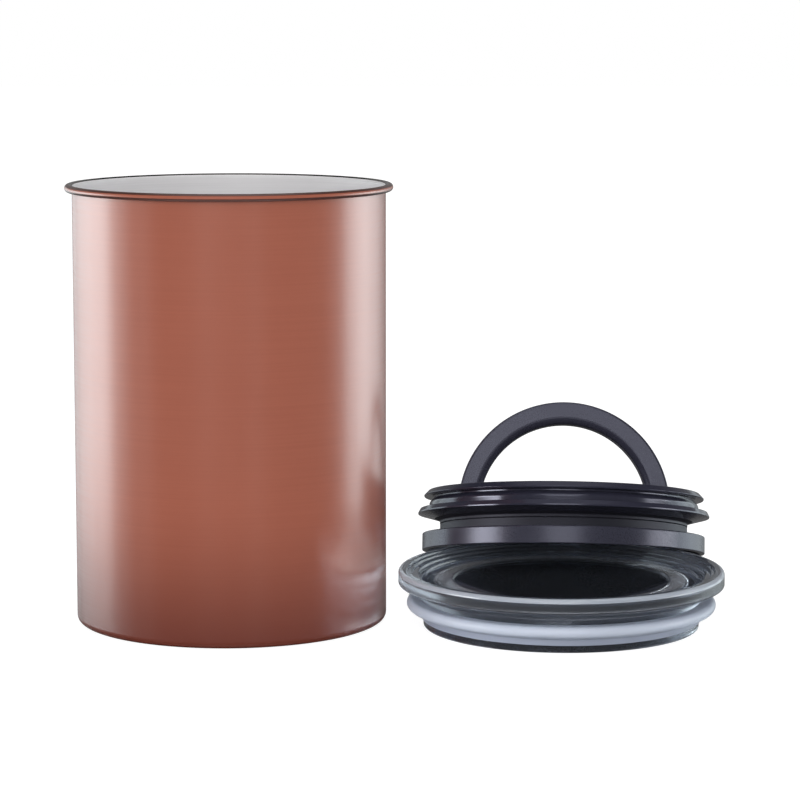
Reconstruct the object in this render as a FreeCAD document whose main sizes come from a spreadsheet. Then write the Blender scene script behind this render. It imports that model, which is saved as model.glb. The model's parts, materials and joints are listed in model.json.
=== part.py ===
"""Coffee canister with a plunger lid that vents through a valve.

The canister stands at the origin, +Z up. Its two lids lie beside it: the outer lid flat on the table, and
the inner lid leaning back on the outer lid's flange with its handle upright. Sizes are millimetres.
"""

import FreeCAD
import Part
import Sketcher
import math
import os

# Driving dimensions
SIZES = {
    # Canister
    "can_radius": 60.6,
    "can_height": 170.8,
    "can_wall": 0.7,
    "can_corner": 2.7,
    "rim_radius": 63.5,
    "bead_radius": 1.45,
    # Outer lid, measured from the table
    "outer_x": 128.7,
    "outer_y": -13.1,
    "plug_radius": 53.5,
    "plug_wall": 2.0,
    "plug_ring": 2.8,
    "plug_round": 0.5,
    "groove_depth": 1.7,
    "groove_top": 10.7,
    "skirt_radius": 54.3,
    "waist_radius": 55.5,
    "waist_height": 13.0,
    "flange_foot_radius": 60.5,
    "flange_foot": 16.2,
    "flange_radius": 63.3,
    "flange_foot_round": 0.8,
    "flange_top_round": 1.6,
    "flange_top": 22.1,
    "plate_top": 17.2,
    "plate_wall": 2.0,
    "plate_disc": 41.4,
    "step_drop": 1.0,
    "step_lean": 0.3,
    # Gasket of the outer lid
    "gasket_radius": 54.2,
    "gasket_root_top": 5.2,
    "gasket_lip": 60.0,
    "gasket_round": 2.2,
    "gasket_height": 8.8,
    # Inner lid: where it leans, then its own sizes from the bottom of its band
    "inner_x": 133.3,
    "inner_y": 60.4,
    "lean_angle": 14.3,
    "table_gap": 0.05,
    "band_radius": 58.15,
    "band_wall": 2.0,
    "band_height": 7.1,
    "band_foot_round": 0.4,
    "band_top_round": 0.6,
    "shoulder_wall": 1.6,
    "neck_radius": 50.9,
    "ledge_radius": 44.0,
    "seam_height": 10.9,
    "seam_gap": 0.1,
    "floor_top": 9.0,
    "floor_wall": 2.0,
    "spigot_radius": 48.0,
    "dish_radius": 49.0,
    "dish_wall": 2.5,
    "dish_top": 24.4,
    "dish_round": 2.5,
    "dish_rim_round": 0.75,
    "collar_radius": 52.0,
    "collar_low": 20.6,
    "collar_wall": 1.8,
    # Wiper seal: radius and height of each turn of its section
    "seal_neck": 51.0,
    "seal_neck_top": 12.3,
    "lip_root": 53.0,
    "lip_root_height": 13.1,
    "third_lip": 60.0,
    "third_lip_low": 14.9,
    "third_lip_high": 15.5,
    "leaf_radius": 59.1,
    "leaf_height": 17.2,
    "leaf_back": 58.5,
    "ridge_foot": 56.0,
    "ridge_foot_height": 16.7,
    "ridge_radius": 55.3,
    "ridge_low": 17.3,
    "ridge_shoulder": 54.4,
    "ridge_high": 20.9,
    "ridge_round": 4.0,
    "seal_groove": 53.8,
    "seal_groove_low": 21.2,
    "seal_groove_high": 22.0,
    "hook_root": 56.9,
    "hook_root_height": 22.2,
    "hook_tip": 57.5,
    "hook_tip_height": 22.1,
    "top_lip": 57.7,
    "top_lip_height": 22.7,
    "crown_radius": 55.7,
    "crown_height": 24.8,
    "seal_top": 25.0,
    # Handle and its axle
    "pivot_height": 18.45,
    "handle_outer": 43.65,
    "handle_inner": 34.6,
    "handle_half": 4.75,
    "handle_soft": 3.0,
    "handle_edge": 0.855,
    "grip_groove_width": 0.8,
    "grip_groove_depth": 0.5,
    "back_groove": 1.9,
    "front_groove": -0.6,
    "boss_radius": 3.6,
    "boss_gap": 0.25,
    "axle_radius": 1.75,
    "axle_half": 48.4,
    "axle_bevel": 0.35,
    "running_gap": 0.05,
    # Valve
    "valve_lift": 1.6,
    "cam_radius": 5.0,
    "cam_half": 3.5,
    "cam_gap": 0.2,
    "cap_radius": 4.4,
    "cap_wall": 1.4,
    "cap_round": 0.42,
    "cap_cover": 0.56,
    "stem_radius": 2.0,
    "spigot_pin": 1.2,
    "head_radius": 6.4,
    "head_wall": 1.0,
    "head_round": 0.4,
    "washer_radius": 7.2,
    "washer_wall": 1.0,
    "seat_bottom": 4.4,
    "seat_wall": 1.4,
    "well_radius": 7.2,
    "well_wall": 1.4,
    "sleeve_radius": 3.0,
    "sleeve_top": 8.6,
    "vent_radius": 0.8,
    "vent_circle": 5.4,
    "spring_radius": 3.75,
    "spring_wire": 0.25,
    "spring_gap": 0.1,
}
SHEET = "sizes"
LEAN_AZIMUTH = 4.2
STEP_INSETS = (3.75, 5.25, 7.75, 10.35)
VENTS = 6
SPRING_TURNS = 4
ARCS_PER_TURN = 4
HALF_ROOT = math.sqrt(0.5)

doc = FreeCAD.newDocument("CoffeeCanister")
sheet = doc.addObject("Spreadsheet::Sheet", SHEET)
for row, (alias, size) in enumerate(SIZES.items(), start=1):
    sheet.set(f"A{row}", alias)
    sheet.set(f"B{row}", str(size))
    sheet.setAlias(f"B{row}", alias)
doc.recompute()


class Size:
    """A length that carries its value and the sheet expression that gives it."""

    def __init__(self, value, text):
        self.value = value
        self.text = text

    def join(self, other, sign, value):
        """The size that sign makes of this one and another size or number."""
        text = other.text if isinstance(other, Size) else repr(other)
        return Size(value, f"({self.text} {sign} {text})")

    def __add__(self, other):
        return self.join(other, "+", self.value + number(other))

    def __sub__(self, other):
        return self.join(other, "-", self.value - number(other))

    def __mul__(self, other):
        return self.join(other, "*", self.value * number(other))

    def __neg__(self):
        return self * -1


def number(size):
    """The plain value of a size or number."""
    return size.value if isinstance(size, Size) else float(size)


class Sheet:
    """The driving dimensions by name."""

    def __getattr__(self, alias):
        return Size(float(sheet.get(alias)), f"{SHEET}.{alias}")


d = Sheet()


def bind(target, path, size):
    """Ties one property of an object to the sheet."""
    target.setExpression(path, size.text)


class To:
    """The next corner of an outline, reached by a line or by an arc that turns left or right."""

    def __init__(self, across, along, left=None, right=None):
        self.place = (across, along)
        self.radius = left or right
        self.left = left is not None

    def point(self):
        return FreeCAD.Vector(number(self.place[0]), number(self.place[1]), 0)


def segment(start, end):
    """The line or arc from one corner to the next, and whether it runs backwards."""
    first = start.point()
    last = end.point()
    if end.radius is None:
        return Part.LineSegment(first, last), False
    chord = last - first
    radius = number(end.radius)
    sag = radius - math.sqrt(max(radius**2 - (chord.Length / 2) ** 2, 0))
    side = FreeCAD.Vector(chord.y, -chord.x, 0).normalize() * (sag if end.left else -sag)
    middle = (first + last) / 2 + side
    arc = Part.ArcOfCircle(first, middle, last)
    return arc, not end.left


def new_sketch(body, name, role):
    """An empty sketch on one of the body's own planes."""
    sketch = body.newObject("Sketcher::SketchObject", name)
    plane = next(item for item in body.Origin.OriginFeatures if item.Role == role)
    sketch.AttachmentSupport = [(plane, "")]
    sketch.MapMode = "FlatFace"
    return sketch


def pin(sketch, piece, end, place):
    """Holds one end of a piece at its place, tied to the sheet."""
    for axis, kind, size in ((-2, "DistanceX", place[0]), (-1, "DistanceY", place[1])):
        if number(size) == 0:
            sketch.addConstraint(Sketcher.Constraint("PointOnObject", piece, end, axis))
            continue
        index = sketch.addConstraint(Sketcher.Constraint(kind, -1, 1, piece, end, number(size)))
        if isinstance(size, Size):
            bind(sketch, f"Constraints[{index}]", size)


def outline(body, name, role, corners):
    """A closed outline through the corners, every corner and arc tied to the sheet."""
    sketch = new_sketch(body, name, role)
    ends = []
    for index, end in enumerate(corners):
        piece, backwards = segment(corners[index - 1], end)
        sketch.addGeometry(piece)
        ends.append((2, 1) if backwards else (1, 2))
    for index, end in enumerate(corners):
        after = (index + 1) % len(corners)
        joint = Sketcher.Constraint("Coincident", index, ends[index][1], after, ends[after][0])
        sketch.addConstraint(joint)
        pin(sketch, index, ends[index][1], end.place)
        if end.radius is not None:
            limit = sketch.addConstraint(Sketcher.Constraint("Radius", index, number(end.radius)))
            bind(sketch, f"Constraints[{limit}]", end.radius)
    return sketch


def circle(sketch, place, radius):
    """A circle in a sketch, its centre and radius tied to the sheet."""
    centre = FreeCAD.Vector(number(place[0]), number(place[1]), 0)
    up = FreeCAD.Vector(0, 0, 1)
    piece = sketch.addGeometry(Part.Circle(centre, up, number(radius)))
    pin(sketch, piece, 3, place)
    limit = sketch.addConstraint(Sketcher.Constraint("Radius", piece, number(radius)))
    bind(sketch, f"Constraints[{limit}]", radius)


def new_body(label):
    """An empty body that carries the sub-part's name."""
    body = doc.addObject("PartDesign::Body", label)
    body.Label = label
    return body


def turned(label, corners):
    """A body turned about its own Z axis from half of its section."""
    body = new_body(label)
    profile = outline(body, label + "_section", "XZ_Plane", corners)
    turn = body.newObject("PartDesign::Revolution", label + "_turn")
    turn.Profile = profile
    turn.ReferenceAxis = (profile, ["V_Axis"])
    turn.Angle = 360
    return body


def cut_through(body, sketch):
    """Cuts a sketch right through a body, both ways from its plane."""
    doc.recompute()
    before = body.Shape.Volume
    pocket = body.newObject("PartDesign::Pocket", sketch.Name + "_cut")
    pocket.Profile = sketch
    pocket.Type = "ThroughAll"
    pocket.Midplane = True
    doc.recompute()
    if body.Shape.Volume >= before:
        raise RuntimeError(f"{pocket.Name} cuts nothing")
    return pocket


def both_sides(body, role, *features):
    """Repeats features on the other side of one of the body's planes."""
    plane = next(item for item in body.Origin.OriginFeatures if item.Role == role)
    mirror = body.newObject("PartDesign::Mirrored", features[0].Name + "_pair")
    mirror.Originals = list(features)
    mirror.MirrorPlane = (plane, [""])
    body.Tip = mirror
    doc.recompute()


def side_pad(body, name, radius, start, end):
    """A round pad on the pivot line, from start to end along X."""
    sketch = new_sketch(body, name, "YZ_Plane")
    circle(sketch, (0, d.pivot_height), radius)
    sketch.AttachmentOffset = FreeCAD.Placement(FreeCAD.Vector(0, 0, start.value), FreeCAD.Rotation())
    bind(sketch, "AttachmentOffset.Base.z", start)
    pad = body.newObject("PartDesign::Pad", name + "_pad")
    pad.Profile = sketch
    bind(pad, "Length", end - start)
    doc.recompute()
    return pad


def through_pad(body, sketch, half):
    """A pad that reaches the same way to both sides of the sketch's plane."""
    pad = body.newObject("PartDesign::Pad", sketch.Name + "_pad")
    pad.Profile = sketch
    pad.Midplane = True
    bind(pad, "Length", half * 2)
    doc.recompute()
    return pad


def place_outer(item):
    """Puts a piece of the outer lid on the table beside the canister."""
    bind(item, "Placement.Base.x", d.outer_x)
    bind(item, "Placement.Base.y", d.outer_y)


def place_inner(item):
    """Leans a piece of the inner lid back, with the far edge of its band on the table."""
    azimuth = math.radians(LEAN_AZIMUTH)
    lean = math.radians(d.lean_angle.value)
    height = d.band_radius * math.sin(lean) + d.table_gap
    base = FreeCAD.Vector(d.inner_x.value, d.inner_y.value, height.value)
    axis = FreeCAD.Vector(math.cos(azimuth), -math.sin(azimuth), 0)
    item.Placement = FreeCAD.Placement(base, FreeCAD.Rotation(axis, -d.lean_angle.value))
    bind(item, "Placement.Base.x", d.inner_x)
    bind(item, "Placement.Base.y", d.inner_y)
    bind(item, "Placement.Base.z", height)


def canister_shell():
    """Drawn steel can: thin wall, rounded base corner and a rim rolled outwards into a bead."""
    inside = d.can_radius - d.can_wall
    bead_foot = d.rim_radius - d.bead_radius * (1 + HALF_ROOT)
    bead_low = d.can_height - d.bead_radius * (1 + HALF_ROOT)
    bead_high = d.can_height - d.bead_radius * (1 - HALF_ROOT)
    throat = d.can_height - d.bead_radius * 1.5
    return turned("canister_shell", [
        To(0, 0),
        To(d.can_radius - d.can_corner, 0),
        To(d.can_radius, d.can_corner, left=d.can_corner),
        To(d.can_radius, d.can_height - d.bead_radius * 2),
        To(bead_foot, bead_low),
        To(d.rim_radius, d.can_height - d.bead_radius, left=d.bead_radius),
        To(bead_foot, bead_high, left=d.bead_radius),
        To(inside, throat),
        To(inside, d.can_corner),
        To(d.can_radius - d.can_corner, d.can_wall, right=d.can_corner - d.can_wall),
        To(0, d.can_wall),
    ])


def outer_lid():
    """Clear lid: hollow plug with a gasket groove, a flared skirt, a flat flange and a stepped top."""
    inside = d.plug_radius - d.groove_depth - d.plug_wall
    ceiling = d.plate_top - d.plate_wall
    corners = [
        To(inside, 0),
        To(d.plug_radius - d.plug_round, 0),
        To(d.plug_radius, d.plug_round, left=d.plug_round),
        To(d.plug_radius, d.plug_ring),
        To(d.plug_radius - d.groove_depth, d.plug_ring),
        To(d.plug_radius - d.groove_depth, d.groove_top),
        To(d.skirt_radius, d.groove_top),
        To(d.waist_radius, d.waist_height),
        To(d.flange_foot_radius, d.flange_foot),
        To(d.flange_radius - d.flange_foot_round, d.flange_foot),
        To(d.flange_radius, d.flange_foot + d.flange_foot_round, left=d.flange_foot_round),
        To(d.flange_radius, d.flange_top - d.flange_top_round),
        To(d.flange_radius - d.flange_top_round, d.flange_top, left=d.flange_top_round),
    ]
    for count, inset in enumerate(STEP_INSETS):
        height = d.flange_top - d.step_drop * count
        edge = d.flange_radius - inset
        corners.append(To(edge, height))
        corners.append(To(edge - d.step_lean, height - d.step_drop))
    corners += [
        To(d.plate_disc + d.step_lean * 2, d.flange_top - d.step_drop * len(STEP_INSETS)),
        To(d.plate_disc, d.plate_top),
        To(0, d.plate_top),
        To(0, ceiling),
        To(inside - d.plate_wall, ceiling),
        To(inside, ceiling - d.plate_wall, right=d.plate_wall),
    ]
    body = turned("outer_lid", corners)
    place_outer(body)
    return body


def outer_lid_gasket():
    """Silicone ring in the plug's groove, with one thick rounded lip."""
    inside = d.plug_radius - d.groove_depth
    tip = d.gasket_lip - d.gasket_round
    middle = d.gasket_height
    body = turned("outer_lid_gasket", [
        To(inside, d.plug_ring),
        To(d.gasket_radius, d.plug_ring),
        To(d.gasket_radius, d.gasket_root_top),
        To(tip, middle - d.gasket_round),
        To(d.gasket_lip, middle, left=d.gasket_round),
        To(tip, middle + d.gasket_round, left=d.gasket_round),
        To(d.skirt_radius, d.groove_top),
        To(inside, d.groove_top),
    ])
    place_outer(body)
    return body


def guide_ring():
    """Lower half of the inner lid: the guide band, its shoulder, the neck and a ledge under the dish."""
    inside = d.band_radius - d.band_wall
    underside = d.band_height - d.shoulder_wall
    floor_bottom = d.floor_top - d.floor_wall
    body = turned("guide_ring", [
        To(inside, 0),
        To(d.band_radius - d.band_foot_round, 0),
        To(d.band_radius, d.band_foot_round, left=d.band_foot_round),
        To(d.band_radius, d.band_height - d.band_top_round),
        To(d.band_radius - d.band_top_round, d.band_height, left=d.band_top_round),
        To(d.neck_radius, d.band_height),
        To(d.neck_radius, d.seam_height),
        To(d.spigot_radius, d.seam_height),
        To(d.spigot_radius, floor_bottom),
        To(d.ledge_radius, floor_bottom),
        To(d.ledge_radius, underside),
        To(inside, underside),
    ])
    place_inner(body)
    return body


def inner_lid_dish():
    """Dish that takes the folded handle: seal collar outside, valve well and guide sleeve in the floor,
    a boss each side for the axle, and a ring of vent holes round the stem."""
    inside = d.dish_radius - d.dish_wall
    floor_bottom = d.floor_top - d.floor_wall
    bore = d.stem_radius + d.running_gap
    seat_top = d.seat_bottom + d.seat_wall
    boss_root = inside + d.dish_wall * 0.5
    body = turned("inner_lid_dish", [
        To(bore, d.seat_bottom),
        To(d.well_radius + d.well_wall, d.seat_bottom),
        To(d.well_radius + d.well_wall, floor_bottom),
        To(d.spigot_radius, floor_bottom),
        To(d.spigot_radius, d.seam_height),
        To(d.dish_radius, d.seam_height),
        To(d.dish_radius, d.collar_low),
        To(d.collar_radius, d.collar_low),
        To(d.collar_radius, d.collar_low + d.collar_wall),
        To(d.dish_radius, d.collar_low + d.collar_wall),
        To(d.dish_radius, d.dish_top),
        To(inside + d.dish_rim_round, d.dish_top),
        To(inside, d.dish_top - d.dish_rim_round, left=d.dish_rim_round),
        To(inside, d.floor_top + d.dish_round),
        To(inside - d.dish_round, d.floor_top, right=d.dish_round),
        To(d.well_radius, d.floor_top),
        To(d.well_radius, seat_top),
        To(d.sleeve_radius, seat_top),
        To(d.sleeve_radius, d.sleeve_top),
        To(bore, d.sleeve_top),
    ])
    boss = side_pad(body, "boss", d.boss_radius, d.handle_outer + d.boss_gap, boss_root)
    both_sides(body, "YZ_Plane", boss)
    pivot = new_sketch(body, "pivot_bore", "YZ_Plane")
    circle(pivot, (0, d.pivot_height), d.axle_radius + d.running_gap)
    cut_through(body, pivot)
    vent = new_sketch(body, "vent", "XY_Plane")
    circle(vent, (d.vent_circle, 0), d.vent_radius)
    hole = cut_through(body, vent)
    ring = body.newObject("PartDesign::PolarPattern", "vent_ring")
    ring.Originals = [hole]
    ring.Axis = (vent, ["N_Axis"])
    ring.Angle = 360
    ring.Occurrences = VENTS
    body.Tip = ring
    place_inner(body)
    return body


def wiper_seal():
    """Rubber ring stretched over the dish: a leaf-edged third lip, a round ridge and a hooked top lip."""
    body = turned("wiper_seal", [
        To(d.dish_radius, d.seam_height + d.seam_gap),
        To(d.seal_neck, d.seam_height + d.seam_gap),
        To(d.seal_neck, d.seal_neck_top),
        To(d.lip_root, d.lip_root_height),
        To(d.third_lip, d.third_lip_low),
        To(d.third_lip, d.third_lip_high),
        To(d.leaf_radius, d.leaf_height),
        To(d.leaf_back, d.leaf_height),
        To(d.ridge_foot, d.ridge_foot_height),
        To(d.ridge_radius, d.ridge_low),
        To(d.ridge_shoulder, d.ridge_high, left=d.ridge_round),
        To(d.seal_groove, d.seal_groove_low),
        To(d.seal_groove, d.seal_groove_high),
        To(d.hook_root, d.hook_root_height),
        To(d.hook_tip, d.hook_tip_height),
        To(d.top_lip, d.top_lip_height),
        To(d.crown_radius, d.crown_height),
        To(d.collar_radius, d.seal_top),
        To(d.dish_radius, d.seal_top),
        To(d.dish_radius, d.collar_low + d.collar_wall),
        To(d.collar_radius, d.collar_low + d.collar_wall),
        To(d.collar_radius, d.collar_low),
        To(d.dish_radius, d.collar_low),
    ])
    place_inner(body)
    return body


def handle():
    """Half-ring bail: flat front face, soft edges, two fine grooves inside the grip and round feet."""
    body = new_body("handle")
    soft = d.handle_soft
    edge = d.handle_edge
    groove_floor = d.handle_inner + d.grip_groove_depth
    corners = [
        To(d.handle_inner, -d.handle_half + soft),
        To(d.handle_inner + soft, -d.handle_half, left=soft),
        To(d.handle_outer - edge, -d.handle_half),
        To(d.handle_outer, -d.handle_half + edge, left=edge),
        To(d.handle_outer, d.handle_half - edge),
        To(d.handle_outer - edge, d.handle_half, left=edge),
        To(d.handle_inner + edge, d.handle_half),
        To(d.handle_inner, d.handle_half - edge, left=edge),
    ]
    for middle in (d.back_groove, d.front_groove):
        corners += [
            To(d.handle_inner, middle + d.grip_groove_width * 0.5),
            To(groove_floor, middle + d.grip_groove_width * 0.25),
            To(groove_floor, middle - d.grip_groove_width * 0.25),
            To(d.handle_inner, middle - d.grip_groove_width * 0.5),
        ]
    section = outline(body, "grip_section", "XY_Plane", corners)
    section.AttachmentOffset = FreeCAD.Placement(
        FreeCAD.Vector(0, 0, d.pivot_height.value), FreeCAD.Rotation())
    bind(section, "AttachmentOffset.Base.z", d.pivot_height)
    arch = body.newObject("PartDesign::Revolution", "grip")
    arch.Profile = section
    arch.ReferenceAxis = (section, ["V_Axis"])
    arch.Angle = 180
    arch.Reversed = True
    doc.recompute()
    foot = side_pad(body, "foot", d.handle_half, d.handle_inner, d.handle_outer)
    both_sides(body, "YZ_Plane", foot)
    bore = new_sketch(body, "axle_bore", "YZ_Plane")
    circle(bore, (0, d.pivot_height), d.axle_radius)
    cut_through(body, bore)
    place_inner(body)
    return body


def handle_axle():
    """Steel rod on the pivot line, from wall to wall of the dish."""
    body = new_body("handle_axle")
    sketch = new_sketch(body, "rod", "YZ_Plane")
    circle(sketch, (0, d.pivot_height), d.axle_radius)
    rod = through_pad(body, sketch, d.axle_half)
    bevel = body.newObject("PartDesign::Chamfer", "rod_ends")
    ends = [f"Face{index + 1}" for index, face in enumerate(rod.Shape.Faces)
            if isinstance(face.Surface, Part.Plane)]
    bevel.Base = (rod, ends)
    bind(bevel, "Size", d.axle_bevel)
    place_inner(body)
    return body


def valve_cam():
    """Eccentric disc on the axle. Its centre lies halfway between down and forward, so that a quarter turn
    of the handle gives a nearly even lift."""
    body = new_body("valve_cam")
    offset = d.valve_lift * 0.5
    sketch = new_sketch(body, "cam", "YZ_Plane")
    circle(sketch, (-offset, d.pivot_height - offset), d.cam_radius)
    circle(sketch, (0, d.pivot_height), d.axle_radius)
    through_pad(body, sketch, d.cam_half)
    place_inner(body)
    return body


def cap_top():
    """Height of the cap's top while the upright handle holds the valve open."""
    return d.pivot_height - d.cam_radius - d.valve_lift * 0.5 - d.cam_gap


def washer_top():
    """Height of the washer's upper face while the valve is open."""
    return d.seat_bottom - d.valve_lift - d.running_gap


def valve_cap():
    """Round button on top of the stem, which the cam presses and the spring lifts."""
    top = cap_top()
    body = turned("valve_cap", [
        To(0, top - d.cap_cover),
        To(d.spigot_pin, top - d.cap_cover),
        To(d.spigot_pin, top - d.cap_wall),
        To(d.cap_radius, top - d.cap_wall),
        To(d.cap_radius, top - d.cap_round),
        To(d.cap_radius - d.cap_round, top, left=d.cap_round),
        To(0, top),
    ])
    place_inner(body)
    return body


def valve_stem():
    """Poppet: round head under the dish, stem through the guide sleeve, thin pin into the cap."""
    head_top = washer_top() - d.washer_wall
    top = cap_top()
    body = turned("valve_stem", [
        To(0, head_top - d.head_wall),
        To(d.head_radius - d.head_round, head_top - d.head_wall),
        To(d.head_radius, head_top - d.head_wall + d.head_round, left=d.head_round),
        To(d.head_radius, head_top),
        To(d.stem_radius, head_top),
        To(d.stem_radius, top - d.cap_wall),
        To(d.spigot_pin, top - d.cap_wall),
        To(d.spigot_pin, top - d.cap_cover),
        To(0, top - d.cap_cover),
    ])
    place_inner(body)
    return body


def valve_seal():
    """Silicone washer on the stem's head, wider than the ring of vents."""
    top = washer_top()
    body = turned("valve_seal", [
        To(d.stem_radius, top - d.washer_wall),
        To(d.washer_radius, top - d.washer_wall),
        To(d.washer_radius, top),
        To(d.stem_radius, top),
    ])
    place_inner(body)
    return body


def valve_spring():
    """Open coil round the guide sleeve, from the floor of the well to the cap: quarter-turn arcs of a helix,
    swept by the wire's round section."""
    radius = d.spring_radius.value
    wire = d.spring_wire.value
    low = (d.seat_bottom + d.seat_wall).value + wire + d.spring_gap.value
    high = (cap_top() - d.cap_wall).value - wire - d.spring_gap.value
    halves = SPRING_TURNS * ARCS_PER_TURN * 2

    def on_helix(half):
        angle = math.pi * half / ARCS_PER_TURN
        height = low + (high - low) * half / halves
        return FreeCAD.Vector(radius * math.cos(angle), radius * math.sin(angle), height)

    arcs = [Part.Arc(on_helix(half), on_helix(half + 1), on_helix(half + 2)).toShape()
            for half in range(0, halves, 2)]
    path = Part.Wire(arcs)
    start = arcs[0].tangentAt(arcs[0].FirstParameter)
    ring = Part.Wire(Part.makeCircle(wire, on_helix(0), start))
    coil = Part.Solid(path.makePipeShell([ring], True, False))
    gap = (high - low) / SPRING_TURNS - 2 * wire
    print(f"valve_spring: {SPRING_TURNS} turns, least gap between turns {gap:.2f} mm")
    item = doc.addObject("Part::Feature", "valve_spring")
    item.Label = "valve_spring"
    item.Shape = coil
    place_inner(item)
    return item


nodes = [
    canister_shell(),
    outer_lid(),
    outer_lid_gasket(),
    guide_ring(),
    inner_lid_dish(),
    wiper_seal(),
    handle(),
    handle_axle(),
    valve_cam(),
    valve_cap(),
    valve_stem(),
    valve_seal(),
    valve_spring(),
]
doc.recompute()

for item in doc.Objects:
    if "Invalid" in item.State or "Error" in item.State:
        raise RuntimeError(f"{item.Label} failed: {item.State}")
for node in nodes:
    if node.Shape.isNull() or not node.Shape.isValid():
        raise RuntimeError(f"{node.Label} has no valid shape")

os.makedirs("parts", exist_ok=True)
for node in nodes:
    node.Shape.exportStep(f"parts/{node.Label}.step")
    print(f"{node.Label}: {node.Shape.Volume:.1f} mm3, {len(node.Shape.Solids)} solid")
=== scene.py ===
"""Looks of a coffee canister with its two lids, dressed over the fixed frame of its solids.

The canister stands at the origin. The clear outer lid, darkened by painted shade over its middle disc, rim
and foot, lies on the table beside it, and the black inner lid leans on the outer lid's flange with its handle
up. Sizes are written in millimetres and built in metres.
"""

import json
import logging
import math
from collections.abc import Sequence
from dataclasses import dataclass, field, replace
from enum import Enum, IntEnum

import bpy
import numpy as np
from numpy.typing import NDArray
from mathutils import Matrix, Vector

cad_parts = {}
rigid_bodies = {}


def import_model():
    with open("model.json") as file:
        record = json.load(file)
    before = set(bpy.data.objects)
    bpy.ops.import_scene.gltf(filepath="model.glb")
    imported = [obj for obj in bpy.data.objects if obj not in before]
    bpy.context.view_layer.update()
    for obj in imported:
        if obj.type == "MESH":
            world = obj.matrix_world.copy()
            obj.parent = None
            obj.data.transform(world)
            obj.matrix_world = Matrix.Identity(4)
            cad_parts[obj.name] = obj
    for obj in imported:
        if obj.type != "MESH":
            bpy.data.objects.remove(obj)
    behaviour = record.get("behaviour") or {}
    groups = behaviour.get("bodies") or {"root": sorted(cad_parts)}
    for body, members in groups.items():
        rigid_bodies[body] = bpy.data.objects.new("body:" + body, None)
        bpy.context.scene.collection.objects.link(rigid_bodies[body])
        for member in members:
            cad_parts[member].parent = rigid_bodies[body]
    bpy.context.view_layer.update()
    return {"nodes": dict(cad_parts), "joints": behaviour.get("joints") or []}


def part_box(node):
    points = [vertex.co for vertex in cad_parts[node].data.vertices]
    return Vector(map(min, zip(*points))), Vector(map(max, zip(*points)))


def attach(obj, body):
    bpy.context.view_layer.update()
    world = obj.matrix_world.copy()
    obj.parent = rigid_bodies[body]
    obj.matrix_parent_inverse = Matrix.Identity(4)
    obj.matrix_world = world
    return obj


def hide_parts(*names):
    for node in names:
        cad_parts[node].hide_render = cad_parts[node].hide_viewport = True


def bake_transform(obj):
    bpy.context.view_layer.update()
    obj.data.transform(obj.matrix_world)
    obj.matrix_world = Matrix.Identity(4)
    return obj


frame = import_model()

log = logging.getLogger("canister")

Points = NDArray[np.float64]
Faces = NDArray[np.int64]
Colour = tuple[float, float, float]
Span = tuple[float, float]
Piece = bpy.types.Object
Socket = bpy.types.NodeSocket

# One millimetre in metres
MM = 0.001
# Steps round a turned piece, and round one corner of a section
SEGMENTS = 256
ROUND_STEPS = 6
# In millimetres: the round of a plain corner, the gap between an arc and the point that keeps the next flat
# flat, the length over which a flat gets such points, and the gap over which two points are kept apart
EDGE = 0.15
SUPPORT = 0.12
LONG_FLAT = 4.0 * SUPPORT
APART = 1e-4
# Stands in for a length of nothing in a division
TINY = 1e-9
# The handle's pivot line over the foot of the inner lid, in millimetres
PIVOT_HEIGHT = 18.45


# Shapes worked out on grids


@dataclass(frozen=True)
class Place:
    """Where a sub-assembly stands: its origin in metres and its three unit axes as rows."""

    origin: Points
    axes: Points

    def put(self, local: Points) -> Points:
        """Takes local millimetres to the row frame: the origin plus each coordinate along its axis."""
        return self.origin + (local * MM) @ self.axes


@dataclass(frozen=True)
class Turn:
    """One corner of a section: distance from the axis, height, and the radius that rounds it."""

    radius: float
    height: float
    round: float = EDGE


def lengths(vectors: Points) -> Points:
    """Length of each vector, kept as a last axis of one."""
    return np.linalg.norm(vectors, axis=-1, keepdims=True)


def corner_arcs(turns: Sequence[Turn], closed: bool) -> Points:
    """Puts an arc in the place of every corner of a section.

    A corner whose neighbours lie along the unit directions a and b is rounded by r with an arc that goes from
    r / tan(h) along a to r / tan(h) along b, h being half the corner's angle. A point at share s of an arc of
    span t is the arc's centre plus its two ends weighted by sin((1 - s) t) / sin(t) and sin(s t) / sin(t).
    Two arcs that would overlap on a flat are both made smaller.

    Args:
        turns: the corners, anticlockwise with the axis on the left.
        closed: whether the last corner joins the first one.

    Returns:
        One row of radius and height per point, arc after arc.
    """
    corner = np.array([(turn.radius, turn.height) for turn in turns], float)
    wish = np.array([turn.round for turn in turns], float)
    if not closed:
        wish[[0, -1]] = 0.0
    ahead = np.roll(corner, -1, axis=0) - corner
    edge = lengths(ahead)[:, 0]
    forward = ahead / edge[:, None]
    backward = -np.roll(forward, 1, axis=0)
    half = 0.5 * np.arccos(np.clip((forward * backward).sum(1), -1.0, 1.0))
    reach = wish / np.tan(half)
    share = np.minimum(1.0, edge / np.maximum(reach + np.roll(reach, -1), TINY))
    wish = wish * np.minimum(share, np.roll(share, 1))
    reach = wish / np.tan(half)
    middle = forward + backward
    centre = corner + middle / np.maximum(lengths(middle), TINY) * (wish / np.sin(half))[:, None]
    span = np.pi - 2.0 * half
    along = np.linspace(0.0, 1.0, ROUND_STEPS + 1)
    first = np.sin(np.outer(span, 1.0 - along)) / np.sin(span)[:, None]
    last = np.sin(np.outer(span, along)) / np.sin(span)[:, None]
    start = corner + backward * reach[:, None] - centre
    end = corner + forward * reach[:, None] - centre
    arcs = centre[:, None] + first[:, :, None] * start[:, None] + last[:, :, None] * end[:, None]
    return arcs.reshape(-1, 2)


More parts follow.
